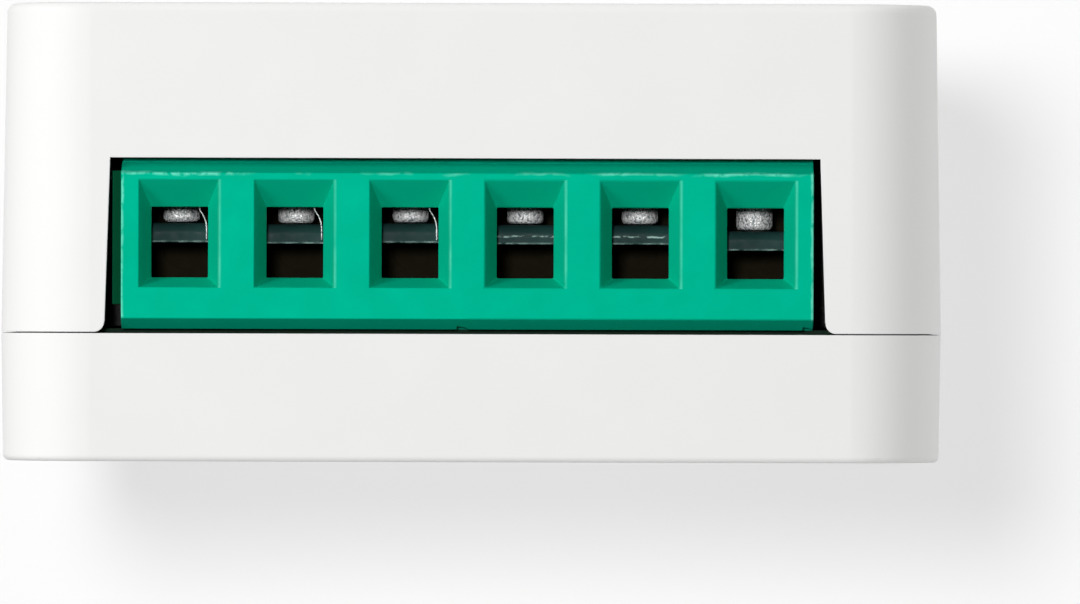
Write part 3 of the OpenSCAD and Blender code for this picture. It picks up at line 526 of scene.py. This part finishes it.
def threaded_screw(i):
    """A clamp screw with a cut thread and a slotted head, in the place of its plain CAD screw."""
    low, high = (Vector(c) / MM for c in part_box(f"clamp_screw_{i}"))
    axis_x, axis_y = (low.x + high.x) / 2, (low.y + high.y) / 2
    shank = high.z - low.z - HEAD_H
    top = shank + HEAD_H
    bm = bmesh.new()

    def ring(z, radius_at):
        verts = []
        for k in range(SCREW_SIDES):
            turn = 2 * math.pi * k / SCREW_SIDES
            r = radius_at(turn, z)
            verts.append(bm.verts.new(
                (r * math.cos(turn) * MM, r * math.sin(turn) * MM, z * MM)))
        return verts

    def plain_rings(profile):
        return [ring(z, lambda turn, z, r=r: r) for z, r in profile]

    point, head = POINT_D / 2, HEAD_D / 2
    rings = plain_rings((TIP_CHAMFER * up, point - TIP_CHAMFER * inset)
                        for up, inset in TIP_PROFILE)
    rings += plain_rings([(POINT_L, point)])
    row_count = int((shank - POINT_L) / THREAD_PITCH * ROWS_PER_PITCH)
    rows = [POINT_L + k * THREAD_PITCH / ROWS_PER_PITCH for k in range(row_count)] + [shank]
    rings += [ring(z, thread_radius) for z in rows]
    rings += plain_rings((
        (shank, head - HEAD_EDGE / 2),
        (shank + HEAD_EDGE / 2, head),
        (top - HEAD_EDGE, head),
        (top - HEAD_EDGE * HEAD_ROUND, head - HEAD_EDGE * HEAD_ROUND),
        (top, head - HEAD_EDGE),
    ))
    skin(bm, rings)
    screw = finish_mesh(bm, f"threaded_screw_{i}", materials["screw_steel"])

    cut = bmesh.new()
    size = Matrix.Diagonal((2 * HEAD_D * MM, SLOT_W * MM, 2 * SLOT_DEPTH * MM, 1))
    turn = Matrix.Rotation(math.radians(SLOT_TURN[i - 1]), 4, "Z")
    bmesh.ops.create_cube(cut, size=1.0,
                          matrix=Matrix.Translation((0, 0, top * MM)) @ turn @ size)
    cutter = finish_mesh(cut, f"slot_cutter_{i}", materials["screw_steel"])
    slot = screw.modifiers.new("slot", "BOOLEAN")
    slot.operation = "DIFFERENCE"
    slot.object = cutter
    bpy.context.view_layer.update()
    depsgraph = bpy.context.evaluated_depsgraph_get()
    mesh = bpy.data.meshes.new_from_object(screw.evaluated_get(depsgraph))
    screw.modifiers.clear()
    screw.data = mesh
    bpy.data.objects.remove(cutter)
    mesh.transform(Matrix.Translation(Vector((axis_x, axis_y, low.z)) * MM))
    mesh.set_sharp_from_angle(angle=math.radians(SCREW_SHARP_ANGLE))
    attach(screw, f"screw_{i}")
    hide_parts(f"clamp_screw_{i}")


def swarf_curl(i):
    """A thin curl of metal left by the thread cutter on a cage. The leaf moves past it."""
    leaf_low, leaf_high = (Vector(c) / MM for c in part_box(f"clamp_leaf_{i}"))
    plate_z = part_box(f"contact_cage_{i}")[1][2] / MM - CAGE_PLATE
    start = Vector(((leaf_low.x + leaf_high.x) / 2, leaf_low.y - CURL_GAP, plate_z))
    path = [start + Vector((x, 0.0, z)) for x, z in CURL_PATH]
    turns = [2 * math.pi * n / CURL_SIDES for n in range(CURL_SIDES)]
    bm = bmesh.new()
    rings = []
    for k, p in enumerate(path):
        along = (path[min(k + 1, len(path) - 1)] - path[max(k - 1, 0)]).normalized()
        across = along.cross(Vector((1, 0, 0))).normalized()
        other = along.cross(across)
        spokes = (math.cos(turn) * across + math.sin(turn) * other for turn in turns)
        rings.append([bm.verts.new((p + CURL_R * spoke) * MM) for spoke in spokes])
    skin(bm, rings)
    bmesh.ops.recalc_face_normals(bm, faces=bm.faces)
    curl = finish_mesh(bm, f"swarf_curl_{i}", materials["screw_steel"], CURL_SHARP_ANGLE)
    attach(curl, "housing")


def stand_for(piece, node, body):
    """Puts a piece on a body, in the place of a CAD node."""
    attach(piece, body)
    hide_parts(node)


slot_of = {part["node"]: part["material_slot"] for part in frame["record"]["subparts"]}
for node, obj in nodes.items():
    paint(obj, materials[slot_of[node]])

for k in (1, 2):
    node = f"terminal_block_{k}"
    block = softened(node, f"moulded_block_{k}", materials["green_plastic"], BLOCK_EDGE,
                     segments=3, sharp_angle=BLOCK_SHARP_ANGLE, stays_sharp=at_joint)
    stand_for(block, node, "housing")
for i in range(1, POLES + 1):
    threaded_screw(i)
    leaf = softened(f"clamp_leaf_{i}", f"pressed_leaf_{i}", materials["leaf_steel"], LEAF_EDGE)
    stand_for(leaf, f"clamp_leaf_{i}", f"clamp_{i}")
    cage = softened(f"contact_cage_{i}", f"folded_cage_{i}", materials["contact_brass"], CAGE_EDGE)
    stand_for(cage, f"contact_cage_{i}", "housing")
for i in CURL_POLES:
    swarf_curl(i)


def seen_rays(tree, glossy_share=None):
    """1 for the rays that show the background: of the camera, of a gloss and of a clear piece."""
    path = add(tree, "ShaderNodeLightPath")
    glossy = path.outputs["Is Glossy Ray"]
    if glossy_share:
        glossy = multiply(tree, glossy, glossy_share)
    return highest(tree, path.outputs["Is Camera Ray"],
                   highest(tree, glossy, path.outputs["Is Transmission Ray"]))


def mix_shader(tree, factor, a, b):
    node = tree.nodes.new("ShaderNodeMixShader")
    for k, socket in enumerate((factor, a, b)):
        link(tree, socket, node.inputs[k])
    return node.outputs[0]


def backdrop():
    """The pale surface behind the module, which takes the soft shadow.

    It fades out towards its edges and is clear from behind.
    """
    mat, tree, bsdf = new_material("pale_surface")
    coords = object_coords(tree)
    greys = ((BACKDROP_ALBEDO - BACKDROP_MOTTLE,) * 3, (BACKDROP_ALBEDO,) * 3)
    link(tree, mix_color(tree, noise(tree, coords, feature_mm=60.0), *greys),
         bsdf.inputs["Base Color"])
    bsdf.inputs["Roughness"].default_value = 0.9
    bsdf.inputs["Specular IOR Level"].default_value = 0.0
    pale = add(tree, "ShaderNodeEmission", Color=(1.0, 1.0, 1.0, 1.0))
    link(tree, multiply(tree, seen_rays(tree), BACKDROP_GLOW), pale.inputs["Strength"])
    front = tree.nodes.new("ShaderNodeAddShader")
    link(tree, bsdf.outputs[0], front.inputs[0])
    link(tree, pale.outputs[0], front.inputs[1])
    clear = add(tree, "ShaderNodeBsdfTransparent")
    x, _, z = axes(tree, coords)
    off_middle = highest(tree, math_node(tree, "ABSOLUTE", x), math_node(tree, "ABSOLUTE", z))
    faded = remap(tree, off_middle, *(edge * MM for edge in BACKDROP_FADE))
    hidden = highest(tree, add(tree, "ShaderNodeNewGeometry").outputs["Backfacing"], faded)
    link(tree, mix_shader(tree, hidden, front.outputs[0], clear.outputs[0]),
         tree.nodes["Material Output"].inputs["Surface"])

    bm = bmesh.new()
    half, y = BACKDROP_HALF * MM, BACKDROP_Y * MM
    corners = ((-half, y, -half), (half, y, -half), (half, y, half), (-half, y, half))
    bm.faces.new([bm.verts.new(p) for p in corners])
    plane = finish_mesh(bm, "pale_surface", mat)
    plane.visible_diffuse = False
    plane.visible_shadow = False
    return plane


def world():
    """Light that is dim in front and bright behind, and white where the background shows.

    Glosses see that white behind the object and the dim side of the studio in front of it.
    """
    studio = bpy.data.worlds.new("studio")
    bpy.context.scene.world = studio
    studio.use_nodes = True
    tree = studio.node_tree
    tree.nodes.clear()
    x, y, _ = axes(tree, add(tree, "ShaderNodeTexCoord").outputs["Generated"])
    rise = remap(tree, y, *GLOW_EDGE)
    side = math_node(tree, "MULTIPLY_ADD", x, GLOW_RIGHT, GLOW_BEHIND - GLOW_FRONT)
    glow = add(tree, "ShaderNodeBackground", Color=(1.0, 1.0, 1.0, 1.0))
    link(tree, math_node(tree, "MULTIPLY_ADD", rise, side, GLOW_FRONT), glow.inputs["Strength"])
    pale = add(tree, "ShaderNodeBackground", Color=(WHITE, WHITE, WHITE, 1.0), Strength=1.0)
    behind = remap(tree, y, *GLOSS_EDGE)
    link(tree, mix_shader(tree, seen_rays(tree, behind), glow.outputs[0], pale.outputs[0]),
         add(tree, "ShaderNodeOutputWorld").inputs["Surface"])


def lamp(name, place, size, power):
    data = bpy.data.lights.new(name, "AREA")
    data.shape = "DISK"
    data.size = size * MM
    data.energy = power
    obj = bpy.data.objects.new(name, data)
    obj.location = Vector(place) * MM
    aim = Vector(LAMP_AIM) * MM - obj.location
    obj.rotation_euler = aim.to_track_quat("-Z", "Y").to_euler()
    bpy.context.scene.collection.objects.link(obj)
    return obj


def link_lamp(light, plane, state):
    """Lights only the pale surface (INCLUDE), or all but it (EXCLUDE): it shows one shadow."""
    group = bpy.data.collections.new(f"{light.name}_receivers")
    group.objects.link(plane)
    group.collection_objects[0].light_linking.link_state = state
    light.light_linking.receiver_collection = group


def camera():
    data = bpy.data.cameras.new("camera")
    data.lens = CAMERA_LENS
    data.sensor_width = SENSOR_W
    data.clip_start = CAMERA_NEAR * MM
    data.clip_end = CAMERA_FAR * MM
    cam = bpy.data.objects.new("camera", data)
    level = Matrix.Rotation(math.radians(90), 4, "X")
    roll = Matrix.Rotation(math.radians(CAMERA_ROLL), 4, "Z")
    place = Matrix.Translation(Vector((CAMERA_X, CAMERA_Y, CAMERA_Z)) * MM)
    cam.matrix_world = place @ level @ roll
    bpy.context.scene.collection.objects.link(cam)
    bpy.context.scene.camera = cam


surface_behind = backdrop()
world()
link_lamp(lamp("window", *WINDOW), surface_behind, "EXCLUDE")
link_lamp(lamp("front", *FRONT), surface_behind, "EXCLUDE")
link_lamp(lamp("shadow", *SHADOW), surface_behind, "INCLUDE")
camera()
bpy.context.scene.view_settings.view_transform = "Standard"
